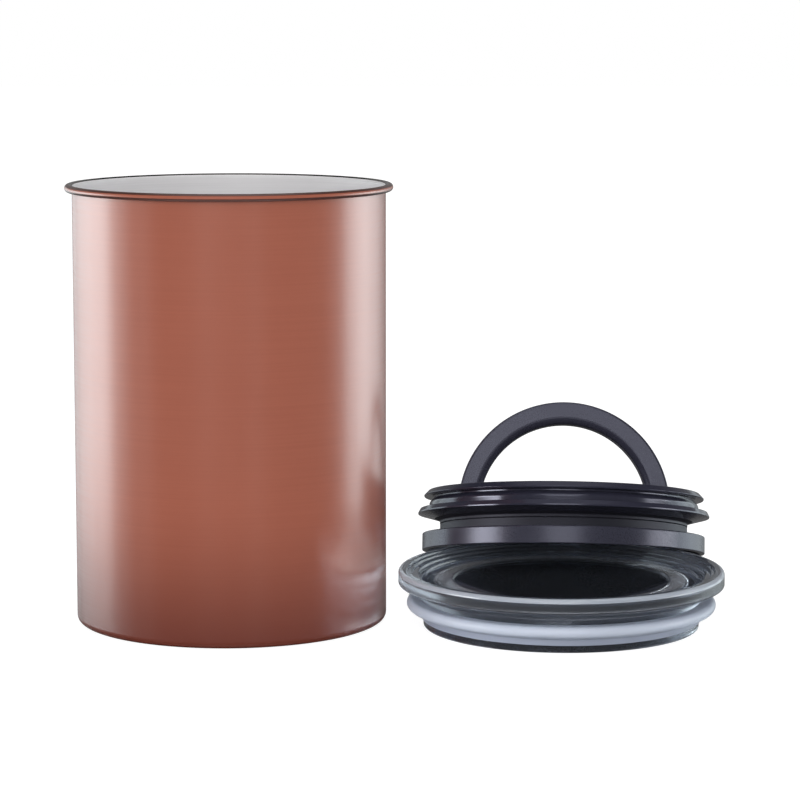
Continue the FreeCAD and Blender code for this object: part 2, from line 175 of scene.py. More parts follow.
def rounded_section(turns: Sequence[Turn], closed: bool) -> Points:
    """Rounds every corner of a section and adds two points to each long flat, close to its ends.

    The added points are an end of the flat plus SUPPORT times the unit direction along it. They keep the flat
    flat when its shading is smooth.

    Args:
        turns: the corners, anticlockwise with the axis on the left.
        closed: whether the last corner joins the first one.

    Returns:
        One row of radius and height per point.
    """
    points = corner_arcs(turns, closed)
    apart = lengths(np.roll(points, -1, axis=0) - points)[:, 0] > APART
    if not closed:
        apart[-1] = True
    points = points[apart]
    step = np.roll(points, -1, axis=0) - points
    length = lengths(step)
    nudge = step / np.maximum(length, TINY) * SUPPORT
    spread = np.stack([points, points + nudge, points + step - nudge], axis=1)
    long = length[:, 0] > LONG_FLAT
    if not closed:
        long[-1] = False
    keep = np.stack([np.ones_like(long), long, long], axis=1)
    return spread[keep]


def grid_faces(rows: int, columns: int, closed: bool) -> Faces:
    """Four-sided faces of a grid of rings whose points are numbered ring by ring.

    Args:
        rows: how many rings there are.
        columns: how many points a ring has.
        closed: whether the last ring joins the first.

    Returns:
        One row of four point numbers per face.
    """
    row = np.arange(rows if closed else rows - 1)[:, None]
    column = np.arange(columns)[None, :]
    below = row * columns
    above = ((row + 1) % rows) * columns
    beside = (column + 1) % columns
    corners = np.broadcast_arrays(below + column, below + beside, above + beside, above + column)
    return np.stack(corners, axis=-1).reshape(-1, 4)


def new_piece(name: str, points: Points, faces: list[list[int]]) -> Piece:
    """Makes a smooth mesh object at the origin.

    Args:
        name: the name of the object and of its mesh.
        points: rows of three coordinates in metres.
        faces: the point numbers of each face.

    Returns:
        The new object.
    """
    mesh = bpy.data.meshes.new(name)
    mesh.from_pydata(points.tolist(), [], faces)
    mesh.polygons.foreach_set("use_smooth", np.ones(len(mesh.polygons), bool))
    mesh.update()
    piece = bpy.data.objects.new(name, mesh)
    bpy.context.scene.collection.objects.link(piece)
    log.info("%s: %d points, %d faces", name, len(mesh.vertices), len(mesh.polygons))
    return piece


def turned_piece(name: str, section: Points, place: Place, closed: bool) -> Piece:
    """Turns a section about the place's third axis.

    The point at radius r, height h and angle t is (r cos t, r sin t, h). A section that isn't closed starts
    and ends on the axis, where its two ends become single points with a fan of triangles.

    Args:
        name: the piece's name.
        section: rows of radius and height in millimetres.
        place: where the piece stands.
        closed: whether the section is a ring that stays off the axis.

    Returns:
        The new object, its faces strip by strip along the section and the two fans last.
    """
    rings = section if closed else section[1:-1]
    angle = np.linspace(0.0, 2.0 * np.pi, SEGMENTS, endpoint=False)
    radius = rings[:, :1]
    height = np.broadcast_to(rings[:, 1:], (len(rings), SEGMENTS))
    local = np.stack([radius * np.cos(angle), radius * np.sin(angle), height], axis=-1).reshape(-1, 3)
    faces = grid_faces(len(rings), SEGMENTS, closed).tolist()
    if not closed:
        poles = np.array([(0.0, 0.0, section[0, 1]), (0.0, 0.0, section[-1, 1])])
        count = len(local)
        column = np.arange(SEGMENTS)
        beside = (column + 1) % SEGMENTS
        last = count - SEGMENTS
        low_fan = np.stack([np.full(SEGMENTS, count), beside, column], axis=1)
        high_fan = np.stack([np.full(SEGMENTS, count + 1), last + column, last + beside], axis=1)
        local = np.concatenate([local, poles])
        faces += low_fan.tolist() + high_fan.tolist()
    return new_piece(name, place.put(local), faces)


def swept_piece(name: str, local: Points, place: Place) -> Piece:
    """Joins ring-shaped sections along a path and closes both ends with a face each.

    Args:
        name: the piece's name.
        local: points in millimetres, by section along the path and then round the section.
        place: where the piece stands.

    Returns:
        The new object.
    """
    rows, columns = local.shape[:2]
    start = np.arange(columns)
    faces = grid_faces(rows, columns, closed=False).tolist()
    faces += [start[::-1].tolist(), (start + (rows - 1) * columns).tolist()]
    return new_piece(name, place.put(local.reshape(-1, 3)), faces)


# Finishes


# Sockets of the Mix node for its share, its two colours and their mixture
MIX_SHARE = 0
MIX_FIRST = 6
MIX_SECOND = 7
MIX_RESULT = 2
# From nothing to all
WHOLE = (0.0, 1.0)
# What every pattern's node group takes and gives
PATTERN_SOCKETS = (
    ("Vector", "NodeSocketVector", "INPUT"),
    ("Fineness", "NodeSocketFloat", "INPUT"),
    ("Shade", "NodeSocketFloat", "OUTPUT"),
    ("Height", "NodeSocketFloat", "OUTPUT"),
)
# Features per metre and detail of the broad variation
BROAD_SCALE = 26.0
BROAD_DETAIL = 2.0
# The part of a pattern's shade that runs from the deep tone to the pale one
SHADE_SPAN = (0.3, 0.7)
BUMP_STRENGTH = 0.6


def metres(span: Span) -> Span:
    """A span of millimetres in metres."""
    return span[0] * MM, span[1] * MM


def grey(level: float) -> tuple[float, float, float, float]:
    """A plain grey that is fully opaque."""
    return level, level, level, 1.0


class Wiring:
    """Adds nodes to one tree and joins their sockets."""

    def __init__(self, tree: bpy.types.NodeTree) -> None:
        """Takes the tree to work in."""
        self.tree = tree

    def add(self, kind: str, inputs: dict | None = None, **settings: object) -> bpy.types.Node:
        """Adds a node.

        Args:
            kind: the node's type.
            inputs: values or source sockets for its inputs, by socket name or number.
            settings: properties of the node.

        Returns:
            The new node.
        """
        node = self.tree.nodes.new(kind)
        for key, setting in settings.items():
            setattr(node, key, setting)
        for key, given in (inputs or {}).items():
            self.feed(node.inputs[key], given)
        return node

    def feed(self, socket: Socket, given: object) -> None:
        """Joins a source socket to an input, or sets the input's own value.

        Args:
            socket: the input.
            given: the source socket or the value.
        """
        if isinstance(given, Socket):
            self.tree.links.new(given, socket)
        else:
            socket.default_value = given

    def math(self, operation: str, first: object, second: object) -> Socket:
        """Joins two numbers by one operation."""
        return self.add("ShaderNodeMath", {0: first, 1: second}, operation=operation).outputs[0]

    def vector(self, operation: str, first: object, second: object) -> Socket:
        """Joins two vectors by one operation."""
        return self.add("ShaderNodeVectorMath", {0: first, 1: second}, operation=operation).outputs[0]

    def height(self, place: Socket) -> Socket:
        """The height of a place."""
        return self.add("ShaderNodeSeparateXYZ", {0: place}).outputs["Z"]

    def ramp(self, value: Socket, span: Span, result: Span, smooth: bool = True) -> Socket:
        """Maps a value from one span to another, held at the ends.

        Args:
            value: the value's socket.
            span: the two values between which the result changes.
            result: what the two values become.
            smooth: whether the change starts and ends gently.

        Returns:
            The socket of the result.
        """
        inputs = {"Value": value, "From Min": span[0], "From Max": span[1],
                  "To Min": result[0], "To Max": result[1]}
        kind = "SMOOTHSTEP" if smooth else "LINEAR"
        return self.add("ShaderNodeMapRange", inputs, interpolation_type=kind).outputs["Result"]

    def blend(self, share: Socket, first: Socket | Colour, second: Socket | Colour) -> Socket:
        """Mixes two colours.

        Args:
            share: how much of the second colour goes in.
            first: the first colour or its socket.
            second: the second colour or its socket.

        Returns:
            The socket of the mixture.
        """
        node = self.add("ShaderNodeMix", data_type="RGBA")
        for number, given in ((MIX_SHARE, share), (MIX_FIRST, first), (MIX_SECOND, second)):
            self.feed(node.inputs[number], (*given, 1.0) if isinstance(given, tuple) else given)
        return node.outputs[MIX_RESULT]


class Pattern(Enum):
    """The fine structure of a surface."""

    BRUSHED = "brushed_lines"
    GRAIN = "moulded_grain"
    HAZE = "soft_haze"

    def group(self) -> bpy.types.ShaderNodeTree:
        """The pattern's node group, made at first use.

        It takes a Vector and a Fineness in features per metre, and gives a Shade from 0 to 1 that varies over
        centimetres and a Height of the fine relief.

        Returns:
            The node group.
        """
        made = bpy.data.node_groups.get(self.value)
        if made:
            return made
        tree = bpy.data.node_groups.new(self.value, "ShaderNodeTree")
        for name, kind, way in PATTERN_SOCKETS:
            tree.interface.new_socket(name, in_out=way, socket_type=kind)
        wiring = Wiring(tree)
        given = wiring.add("NodeGroupInput").outputs
        stretch, broad_share, detail = PATTERN_SHAPES[self]
        level = wiring.math("MULTIPLY", given["Fineness"], stretch)
        scale = wiring.add("ShaderNodeCombineXYZ", {0: level, 1: level, 2: given["Fineness"]}).outputs[0]
        fine_place = wiring.vector("MULTIPLY", given["Vector"], scale)
        fine_inputs = {"Vector": fine_place, "Scale": 1.0, "Detail": detail}
        fine = wiring.add("ShaderNodeTexNoise", fine_inputs).outputs["Fac"]
        broad_inputs = {"Vector": given["Vector"], "Scale": BROAD_SCALE, "Detail": BROAD_DETAIL}
        broad = wiring.add("ShaderNodeTexNoise", broad_inputs).outputs["Fac"]
        weighted = wiring.math("MULTIPLY", broad, broad_share)
        lined = wiring.math("MULTIPLY", fine, 1.0 - broad_share)
        result = wiring.add("NodeGroupOutput").inputs
        wiring.feed(result["Shade"], wiring.math("ADD", weighted, lined))
        wiring.feed(result["Height"], fine)
        return tree


# The fine relief's fineness across as a share of that in height, the broad variation's share of the shade,
# and the fine relief's detail
PATTERN_SHAPES = {
    Pattern.BRUSHED: (0.012, 0.35, 3.0),
    Pattern.GRAIN: (1.0, 0.55, 2.0),
    Pattern.HAZE: (1.0, 0.8, 1.0),
}


@dataclass(frozen=True)
class Finish:
    """One material: two tones, the pattern that mixes them, its relief, and the shader's plain values."""

    name: str
    pale: Colour
    deep: Colour
    pattern: Pattern
    fineness: float
    roughness: Span
    relief_mm: float = 0.01
    plain: dict[str, float | tuple[float, ...]] = field(default_factory=dict)

    def tone(self, wiring: Wiring, place: Socket, shade: Socket) -> Socket:
        """The colour over the surface: the two tones mixed by the pattern's shade."""
        return wiring.blend(shade, self.deep, self.pale)

    def coat(self, wiring: Wiring, place: Socket) -> Socket | float:
        """How much clear coat lies over the surface: none unless the finish says so."""
        return 0.0

    def material(self) -> bpy.types.Material:
        """The finish's material, made at first use.

        Returns:
            The material.
        """
        made = bpy.data.materials.get(self.name)
        if made:
            return made
        material = bpy.data.materials.new(self.name)
        material.use_nodes = True
        wiring = Wiring(material.node_tree)
        shader = material.node_tree.nodes["Principled BSDF"]
        place = wiring.add("ShaderNodeTexCoord").outputs["Object"]
        pattern = wiring.add("ShaderNodeGroup", node_tree=self.pattern.group())
        wiring.feed(pattern.inputs["Vector"], place)
        wiring.feed(pattern.inputs["Fineness"], self.fineness)
        shade = wiring.ramp(pattern.outputs["Shade"], SHADE_SPAN, WHOLE)
        bump = wiring.add("ShaderNodeBump", {"Strength": BUMP_STRENGTH, "Distance": self.relief_mm * MM,
                                             "Height": pattern.outputs["Height"]})
        wiring.feed(shader.inputs["Base Color"], self.tone(wiring, place, shade))
        wiring.feed(shader.inputs["Roughness"], wiring.ramp(shade, WHOLE, self.roughness, smooth=False))
        wiring.feed(shader.inputs["Normal"], bump.outputs[0])
        wiring.feed(shader.inputs["Coat Weight"], self.coat(wiring, place))
        for socket, number in self.plain.items():
            shader.inputs[socket].default_value = number
        return material


@dataclass(frozen=True)
class FootShadeFinish(Finish):
    """A finish with painted shade: its colour darkens towards the foot of the piece, where its clear coat
    thins out too.
    """

    # The colour of the painted shade at the foot, and the heights over which it gives way to the two tones
    foot: Colour = (0.0, 0.0, 0.0)
    painted_shade_mm: Span = WHOLE
    coats: Span = (0.0, 0.0)
    coat_mm: Span = WHOLE

    def tone(self, wiring: Wiring, place: Socket, shade: Socket) -> Socket:
        """The two tones mixed by the shade, then darkened towards the foot by painted shade."""
        share = wiring.ramp(wiring.height(place), metres(self.painted_shade_mm), WHOLE)
        return wiring.blend(share, self.foot, super().tone(wiring, place, shade))

    def coat(self, wiring: Wiring, place: Socket) -> Socket | float:
        """The coat's weight, climbing from the foot, or none for a finish without a coat."""
        climb = metres(self.coat_mm)
        return wiring.ramp(wiring.height(place), climb, self.coats) if self.coats[1] else 0.0


@dataclass(frozen=True)
class DishedFinish(Finish):
    """A clear finish: pale round the middle disc, and darker with painted shade over the disc, at the foot
    and at the rim.
    """

    # Painted shade: middle is the colour over the disc and, in part, at the foot; rim is the colour outside
    # the rim span
    middle: Colour = (0.0, 0.0, 0.0)
    centre: Span = (0.0, 0.0)
    disc_mm: Span = WHOLE
    foot_mm: Span = WHOLE
    foot_share: float = 0.6
    rim: Colour = (0.0, 0.0, 0.0)
    rim_mm: Span = WHOLE

    def tone(self, wiring: Wiring, place: Socket, shade: Socket) -> Socket:
        """The two tones mixed by the shade, then darkened with painted shade at the rim, near the lid's axis
        and at the table.

        Args:
            wiring: the material's tree.
            place: the socket of the Object coordinates.
            shade: the socket of the pattern's shade.

        Returns:
            The socket of the colour.
        """
        shifted = wiring.vector("SUBTRACT", place, (*self.centre, 0.0))
        level = wiring.vector("MULTIPLY", shifted, (1.0, 1.0, 0.0))
        radius = wiring.add("ShaderNodeVectorMath", {0: level}, operation="LENGTH").outputs["Value"]
        off_disc = wiring.ramp(radius, metres(self.disc_mm), WHOLE)
        off_foot = wiring.ramp(wiring.height(place), metres(self.foot_mm), (self.foot_share, 1.0))
        at_rim = wiring.ramp(radius, metres(self.rim_mm), WHOLE)
        share = wiring.math("MULTIPLY", off_disc, off_foot)
        ringed = wiring.blend(at_rim, super().tone(wiring, place, shade), self.rim)
        return wiring.blend(share, self.middle, ringed)


# The tint of the gloss on black plastic and rubber
COOL_GLOSS = (0.80, 0.82, 1.0, 1.0)

# Painted shade: the copper darkens towards the can's foot, standing in for the shade and dark reflection low
# on the can
COPPER = FootShadeFinish(
    "satin_copper_lacquer", (0.43, 0.103, 0.049), (0.40, 0.092, 0.043), Pattern.BRUSHED, 1400.0, (0.40, 0.48),
    relief_mm=0.004, foot=(0.172, 0.026, 0.011), painted_shade_mm=(-12.0, 58.0),
    coats=(0.66, 1.0), coat_mm=(-10.0, 85.0),
    plain={"Metallic": 0.15, "Coat Roughness": 0.27, "Coat IOR": 2.1})
# Painted shade: a darker copper for the dark reflection on the bead's crest and the shade in the crease under
# it
COPPER_PAINTED_SHADE = Finish(
    "copper_lacquer_painted_shade", (0.095, 0.027, 0.018), (0.080, 0.022, 0.015), Pattern.BRUSHED, 1400.0,
    (0.40, 0.48), relief_mm=0.004,
    plain={"Metallic": 0.15, "Coat Weight": 1.0, "Coat Roughness": 0.27, "Coat IOR": 2.1})
BARE_STEEL = Finish(
    "brushed_bare_steel", (0.90, 0.89, 0.90), (0.84, 0.83, 0.84), Pattern.BRUSHED, 1600.0, (0.42, 0.50),
    relief_mm=0.005, plain={"Metallic": 0.3})
DRAWN_STEEL = Finish(
    "drawn_steel_wire", (0.66, 0.66, 0.67), (0.54, 0.54, 0.55), Pattern.BRUSHED, 2600.0, (0.18, 0.28),
    relief_mm=0.004, plain={"Metallic": 1.0})
POLISHED_STEEL = Finish(
    "polished_rim_steel", (0.24, 0.22, 0.21), (0.20, 0.18, 0.17), Pattern.BRUSHED, 1600.0, (0.10, 0.16),
    relief_mm=0.002, plain={"Metallic": 1.0})
# Painted highlight: a pale, partly clear colour for the bright line along the flange's bevel
EDGE_PAINTED_HIGHLIGHT = Finish(
    "clear_edge_painted_highlight", (0.35, 0.38, 0.43), (0.31, 0.34, 0.39), Pattern.HAZE, 300.0, (0.10, 0.16),
    relief_mm=0.002, plain={"Transmission Weight": 0.3, "IOR": 1.49})
CHARCOAL = Finish(
    "charcoal_moulded_plastic", (0.024, 0.024, 0.036), (0.018, 0.018, 0.028), Pattern.GRAIN, 2600.0,
    (0.25, 0.31), relief_mm=0.008, plain={"Specular Tint": COOL_GLOSS})
RUBBER = Finish(
    "black_seal_rubber", (0.019, 0.019, 0.030), (0.013, 0.013, 0.022), Pattern.HAZE, 900.0, (0.14, 0.20),
    relief_mm=0.004, plain={"Specular Tint": COOL_GLOSS})
# Painted shade: a darker, rougher black on the neck, for the shade under the third lip
MATT_BLACK_PAINTED_SHADE = Finish(
    "matt_black_neck_painted_shade", (0.010, 0.010, 0.014), (0.007, 0.007, 0.010), Pattern.GRAIN, 2600.0, (0.50, 0.58),
    relief_mm=0.008, plain={"Specular Tint": COOL_GLOSS})
GREY_PLASTIC = Finish(
    "grey_moulded_plastic", (0.16, 0.16, 0.17), (0.11, 0.11, 0.12), Pattern.GRAIN, 3000.0, (0.38, 0.48),
    relief_mm=0.010)
# Painted shade: the gasket darkens towards the foot of its root, down under its lip
SILICONE = FootShadeFinish(
    "translucent_silicone", (0.58, 0.63, 0.73), (0.54, 0.59, 0.69), Pattern.HAZE, 500.0, (0.30, 0.40),
    relief_mm=0.010, foot=(0.40, 0.44, 0.54), painted_shade_mm=(4.4, 6.2),
    plain={"Transmission Weight": 0.4, "IOR": 1.42})
# The outer lid's plastic, whose centre is set where the lid lies. Its dark middle disc, rim and foot are
# painted shade, for the shade under and inside the lid seen through the plastic.
CLEAR_PAINTED_SHADE = DishedFinish(
    "clear_plastic_painted_shade", (0.88, 0.90, 0.93), (0.84, 0.86, 0.89), Pattern.HAZE, 300.0, (0.02, 0.05),
    relief_mm=0.002, middle=(0.10, 0.11, 0.13), disc_mm=(41.5, 43.5), foot_mm=(2.4, 3.4),
    rim=(0.26, 0.285, 0.34), rim_mm=(47.5, 49.5),
    plain={"Transmission Weight": 0.92, "IOR": 1.49})


def dress(piece: Piece, *finishes: Finish) -> None:
    """Gives a piece its finishes.

    Args:
        piece: the new piece or the solid.
        finishes: one finish per material slot of the mesh.
    """
    piece.data.materials.clear()
    for finish in finishes:
        piece.data.materials.append(finish.material())


def wear(piece: Piece, numbers: Faces) -> None:
    """Says by number which of a dressed piece's finishes each of its faces wears."""
    piece.data.polygons.foreach_set("material_index", numbers.astype(np.int32))


def settle(piece: Piece, body: str, node: str, slot: str, *finishes: Finish) -> None:
    """Dresses a new piece, lets it stand for a solid and rides it on that solid's body.

    Args:
        piece: the new piece.
        body: the body that carries it.
        node: the solid that it stands for.
        slot: the record's material slot, not used.
        finishes: one finish per material slot of the mesh.
    """
    dress(piece, *finishes)
    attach(piece, body)
    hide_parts(node)


def dress_solid(node: str, finish: Finish) -> None:
    """Gives a solid that stays its finish."""
    dress(frame["nodes"][node], finish)
    log.info("%s: solid kept, %s", node, finish.name)


# Sub-assemblies


class CanCoat(IntEnum):
    """The can's finishes, numbered as its material slots."""

    LACQUER = 0
    POLISHED_RIM = 1
    BRUSHED_INSIDE = 2
    PAINTED_SHADE_LACQUER = 3


@dataclass
class Canister:
    """Drawn can: thin wall, round foot and a rim rolled outwards into a bead."""

    wall_radius: float = 60.6
    height: float = 170.79
    wall: float = 0.7
    foot_round: float = 2.7
    rim_radius: float = 63.47
    bead: float = 1.45
    throat_round: float = 1.7
    polish_edge: float = 60.3
    crest_rise: float = 0.5
    crease_drop: float = 0.26

    def section(self) -> list[Turn]:
        """Half of the can's section.

        Returns:
            The corners, from the middle of the foot round to the middle of the floor.
        """
        inside = self.wall_radius - self.wall
        bead_low = self.height - 2.0 * self.bead
        return [
            Turn(0.0, 0.0),
            Turn(self.wall_radius, 0.0, self.foot_round),
            Turn(self.wall_radius, bead_low),
            Turn(self.rim_radius, bead_low, self.bead),
            Turn(self.rim_radius, self.height, self.bead),
            Turn(inside, self.height, self.throat_round),
            Turn(inside, self.wall, self.foot_round - self.wall),
            Turn(0.0, self.wall),
        ]

    def finish_numbers(self, rings: Points) -> Faces:
        """Says which of the can's finishes each strip between two rings of its section wears.

        A darker copper over the outer half of the bead's crest is a painted dark reflection, and in the
        crease under the bead it is painted shade.

        Args:
            rings: rows of radius and height, from the foot up the outside and down the inside.

        Returns:
            One CanCoat number per strip.
        """
        radius, height = 0.5 * (rings[:-1] + rings[1:]).T
        bead_middle = self.height - self.bead
        crest_radius = self.rim_radius - self.bead
        on_bead = height > bead_middle - self.bead - EDGE
        crease = on_bead & (height < bead_middle - self.crease_drop * self.bead)
        crest = height > bead_middle + self.crest_rise * self.bead
        # Painted dark reflection on the crest and painted shade in the crease, outside the wall
        painted_dark = (crease | crest) & (radius > self.wall_radius)
        above = height > bead_middle
        polished = np.flatnonzero(above & (radius < crest_radius))[0]
        brushed = np.flatnonzero(above & (radius < self.polish_edge))[0]
        strip = np.arange(len(radius))
        numbers = np.where(painted_dark, CanCoat.PAINTED_SHADE_LACQUER, CanCoat.LACQUER)
        numbers[strip >= polished] = CanCoat.POLISHED_RIM
        numbers[strip >= brushed] = CanCoat.BRUSHED_INSIDE
        return numbers

    def build(self) -> None:
        """Turns the can, lacquered outside with painted shade on the bead and towards the foot, polished
        inside the bead's crest and brushed inside.
        """
        place = Place(np.zeros(3), np.eye(3))
        section = rounded_section(self.section(), closed=False)
        piece = turned_piece("canister", section, place, closed=False)
        settle(piece, "canister", "canister_shell", "copper_lacquer",
               COPPER, POLISHED_STEEL, BARE_STEEL, COPPER_PAINTED_SHADE)
        wall = np.repeat(self.finish_numbers(section[1:-1]), SEGMENTS)
        foot = np.full(SEGMENTS, CanCoat.LACQUER)
        floor = np.full(SEGMENTS, CanCoat.BRUSHED_INSIDE)
        wear(piece, np.concatenate([wall, foot, floor]))


class LidCoat(IntEnum):
    """The outer lid's finishes, numbered as its material slots."""

    POLISHED = 0
    PAINTED_HIGHLIGHT_BEVEL = 1
    SATIN = 2


@dataclass
class OuterLid:
    """Clear lid that lies on the table: hollow plug, flared skirt, flange, stepped top and gasket."""

    plug_radius: float = 53.5
    plug_inside: float = 49.8
    plug_ring: float = 2.8
    plug_round: float = 0.5
    ceiling_round: float = 2.0
    groove_radius: float = 51.8
    groove_top: float = 10.7
    skirt_radius: float = 54.3
    skirt_round: float = 0.3
    waist_radius: float = 55.5
    waist_height: float = 13.0
    waist_round: float = 0.6
    flange_foot_radius: float = 60.5
    flange_foot: float = 16.2
    flange_root_round: float = 0.4
    flange_radius: float = 63.3
    flange_foot_round: float = 0.8
    flange_top_round: float = 1.6
    flange_top: float = 22.1
    step_insets: tuple[float, ...] = (3.75, 5.25, 7.75, 10.35)
    step_drop: float = 1.0
    step_lean: float = 0.3
    step_round: float = 0.2
    disc_radius: float = 41.4
    disc_top: float = 17.2
    disc_wall: float = 2.0
    disc_round: float = 0.4
    gasket_radius: float = 54.2
    gasket_root_top: float = 5.2
    gasket_lip: float = 60.0
    gasket_height: float = 8.8
    gasket_round: float = 2.2
    gasket_foot_round: float = 0.3
    gasket_root_round: float = 0.6
    gasket_under_round: float = 1.0
    gasket_gap: float = 0.05
    satin_roughness: Span = (0.20, 0.26)

    def place(self) -> Place:
        """Where the lid lies.

        Returns:
            The middle of its solid's box, on the table.
        """
        low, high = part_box("outer_lid")
        middle = (low + high) / 2.0
        return Place(np.array((middle.x, middle.y, 0.0)), np.eye(3))

    def section(self) -> list[Turn]:
        """Half of the lid's section.

        Returns:
            The corners, from the middle of the underside round to the middle of the top.
        """
        ceiling = self.disc_top - self.disc_wall
        turns = [
            Turn(0.0, ceiling),
            Turn(self.plug_inside, ceiling, self.ceiling_round),
            Turn(self.plug_inside, 0.0),
            Turn(self.plug_radius, 0.0, self.plug_round),
            Turn(self.plug_radius, self.plug_ring),
            Turn(self.groove_radius, self.plug_ring),
            Turn(self.groove_radius, self.groove_top),
            Turn(self.skirt_radius, self.groove_top, self.skirt_round),
            Turn(self.waist_radius, self.waist_height, self.waist_round),
            Turn(self.flange_foot_radius, self.flange_foot, self.flange_root_round),
            Turn(self.flange_radius, self.flange_foot, self.flange_foot_round),
            Turn(self.flange_radius, self.flange_top, self.flange_top_round),
        ]
        for count, inset in enumerate(self.step_insets):
            height = self.flange_top - self.step_drop * count
            edge = self.flange_radius - inset
            turns.append(Turn(edge, height, self.step_round))
            turns.append(Turn(edge - self.step_lean, height - self.step_drop, self.step_round))
        floor = self.flange_top - self.step_drop * len(self.step_insets)
        turns += [
            Turn(self.disc_radius + 2.0 * self.step_lean, floor, self.disc_round),
            Turn(self.disc_radius, self.disc_top, self.disc_round),
            Turn(0.0, self.disc_top),
        ]
        return turns

    def gasket_section(self) -> list[Turn]:
        """The gasket's section: a square root in the groove and one thick round lip.

        Returns:
            The corners, from the foot of the root round by the lip.
        """
        inside = self.groove_radius + self.gasket_gap
        low = self.plug_ring + self.gasket_gap
        high = self.groove_top - self.gasket_gap
        under = self.gasket_height - self.gasket_round
        over = self.gasket_height + self.gasket_round
        tip = self.gasket_lip - self.gasket_round
        return [
            Turn(inside, low),
            Turn(self.gasket_radius, low, self.gasket_foot_round),
            Turn(self.gasket_radius, self.gasket_root_top, self.gasket_root_round),
            Turn(tip, under, self.gasket_under_round),
            Turn(self.gasket_lip, under, self.gasket_round),
            Turn(self.gasket_lip, over, self.gasket_round),
            Turn(self.skirt_radius, high),
            Turn(inside, high),
        ]

    def finish_numbers(self, rings: Points) -> Faces:
        """Says which of the lid's finishes each strip between two rings of its section wears.

        The flange's upper edge is the bevel with a pale painted highlight, and the outside below it is satin
        down to the groove.

        Args:
            rings: rows of radius and height, from the underside round the flange to the top.

        Returns:
            One LidCoat number per strip.
        """
        radius, height = 0.5 * (rings[:-1] + rings[1:]).T
        bevel = ((radius > self.flange_radius - self.flange_top_round)
                 & (height > self.flange_top - self.flange_top_round))
        below_bevel = np.arange(len(radius)) < np.flatnonzero(bevel)[0]
        outside = below_bevel & (radius > self.skirt_radius - EDGE) & (height > self.groove_top - EDGE)
        return np.where(outside, LidCoat.SATIN, np.where(bevel, LidCoat.PAINTED_HIGHLIGHT_BEVEL, LidCoat.POLISHED))

    def build(self) -> None:
        """Turns the lid and its gasket."""
        place = self.place()
        clear = replace(CLEAR_PAINTED_SHADE, centre=(place.origin[0], place.origin[1]))
        satin = replace(clear, name="satin_clear_plastic_painted_shade", roughness=self.satin_roughness)
        section = rounded_section(self.section(), closed=False)
        lid = turned_piece("outer_lid_clear", section, place, closed=False)
        settle(lid, "outer_lid", "outer_lid", "smoke_clear", clear, EDGE_PAINTED_HIGHLIGHT, satin)
        wall = np.repeat(self.finish_numbers(section[1:-1]), SEGMENTS)
        wear(lid, np.concatenate([wall, np.full(2 * SEGMENTS, LidCoat.POLISHED)]))
        ring_section = rounded_section(self.gasket_section(), closed=True)
        ring = turned_piece("outer_lid_seal", ring_section, place, closed=True)
        settle(ring, "outer_lid", "outer_lid_gasket", "pale_silicone", SILICONE)


